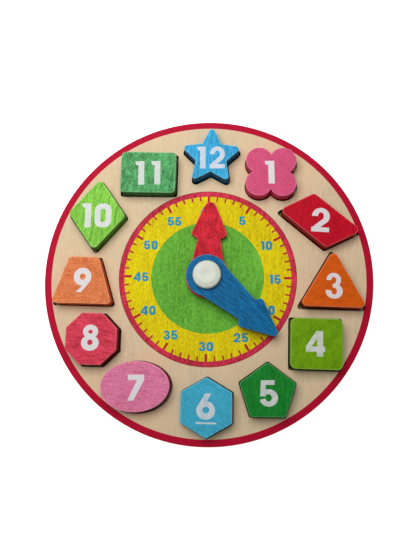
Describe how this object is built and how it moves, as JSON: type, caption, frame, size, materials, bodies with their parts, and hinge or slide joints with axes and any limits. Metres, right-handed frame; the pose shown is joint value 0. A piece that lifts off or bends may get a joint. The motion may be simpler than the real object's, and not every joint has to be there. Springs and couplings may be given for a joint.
{
  "type": "clock shape sorter",
  "caption": "Round wooden toy clock board with shaped numbered blocks in matching sockets and turning hour and minute hands.",
  "frame": {"origin": "centre of the board's underside, on the surface the clock lies on and under the hands' pivot", "axes": "+Z out of the clock face, +Y to twelve o'clock, +X to three o'clock"},
  "size_m": [0.2204, 0.2204, 0.0238],
  "materials": {
    "face_plywood": "sanded birch plywood with a thin clear coat",
    "back_plywood": "sanded birch plywood, bare",
    "block_01_paint": "satin pink paint over wood grain",
    "block_02_paint": "satin crimson paint over wood grain",
    "block_03_paint": "satin dark orange paint over wood grain",
    "block_04_paint": "satin olive green paint over wood grain",
    "block_05_paint": "satin dark green paint over wood grain",
    "block_06_paint": "satin light blue paint over wood grain",
    "block_07_paint": "satin pink paint over wood grain",
    "block_08_paint": "satin coral red paint over wood grain",
    "block_09_paint": "satin orange paint over wood grain",
    "block_10_paint": "satin light green paint over wood grain",
    "block_11_paint": "satin green paint over wood grain",
    "block_12_paint": "satin sky blue paint over wood grain",
    "hour_hand_paint": "satin red paint over wood grain",
    "minute_hand_paint": "satin blue paint over wood grain",
    "cap_plastic": "glossy cream moulded plastic",
    "sleeve_plastic": "plain moulded plastic"
  },
  "bodies": {
    "board": {"face_board": "face_plywood", "back_board": "back_plywood", "pivot_cap": "cap_plastic", "pivot_sleeve": "sleeve_plastic"},
    "hour_hand": {"hour_hand": "hour_hand_paint"},
    "minute_hand": {"minute_hand": "minute_hand_paint"},
    "block_01": {"block_01_clover": "block_01_paint"},
    "block_02": {"block_02_parallelogram": "block_02_paint"},
    "block_03": {"block_03_triangle": "block_03_paint"},
    "block_04": {"block_04_square": "block_04_paint"},
    "block_05": {"block_05_pentagon": "block_05_paint"},
    "block_06": {"block_06_hexagon": "block_06_paint"},
    "block_07": {"block_07_oval": "block_07_paint"},
    "block_08": {"block_08_octagon": "block_08_paint"},
    "block_09": {"block_09_trapezoid": "block_09_paint"},
    "block_10": {"block_10_rhombus": "block_10_paint"},
    "block_11": {"block_11_rectangle": "block_11_paint"},
    "block_12": {"block_12_star": "block_12_paint"}
  },
  "joints": [
    {"name": "hour_hand_turn", "type": "hinge", "parent": "board", "child": "hour_hand", "pos_m": [0, 0, 0.0127], "axis": [0, 0, -1], "continuous": true},
    {"name": "minute_hand_turn", "type": "hinge", "parent": "board", "child": "minute_hand", "pos_m": [0, 0, 0.017], "axis": [0, 0, -1], "continuous": true},
    {"name": "block_01_lift", "type": "slide", "parent": "board", "child": "block_01", "axis": [0, 0, 1], "range_m": [0, 0.03]},
    {"name": "block_02_lift", "type": "slide", "parent": "board", "child": "block_02", "axis": [0, 0, 1], "range_m": [0, 0.03]},
    {"name": "block_03_lift", "type": "slide", "parent": "board", "child": "block_03", "axis": [0, 0, 1], "range_m": [0, 0.03]},
    {"name": "block_04_lift", "type": "slide", "parent": "board", "child": "block_04", "axis": [0, 0, 1], "range_m": [0, 0.03]},
    {"name": "block_05_lift", "type": "slide", "parent": "board", "child": "block_05", "axis": [0, 0, 1], "range_m": [0, 0.03]},
    {"name": "block_06_lift", "type": "slide", "parent": "board", "child": "block_06", "axis": [0, 0, 1], "range_m": [0, 0.03]},
    {"name": "block_07_lift", "type": "slide", "parent": "board", "child": "block_07", "axis": [0, 0, 1], "range_m": [0, 0.03]},
    {"name": "block_08_lift", "type": "slide", "parent": "board", "child": "block_08", "axis": [0, 0, 1], "range_m": [0, 0.03]},
    {"name": "block_09_lift", "type": "slide", "parent": "board", "child": "block_09", "axis": [0, 0, 1], "range_m": [0, 0.03]},
    {"name": "block_10_lift", "type": "slide", "parent": "board", "child": "block_10", "axis": [0, 0, 1], "range_m": [0, 0.03]},
    {"name": "block_11_lift", "type": "slide", "parent": "board", "child": "block_11", "axis": [0, 0, 1], "range_m": [0, 0.03]},
    {"name": "block_12_lift", "type": "slide", "parent": "board", "child": "block_12", "axis": [0, 0, 1], "range_m": [0, 0.03]}
  ]
}
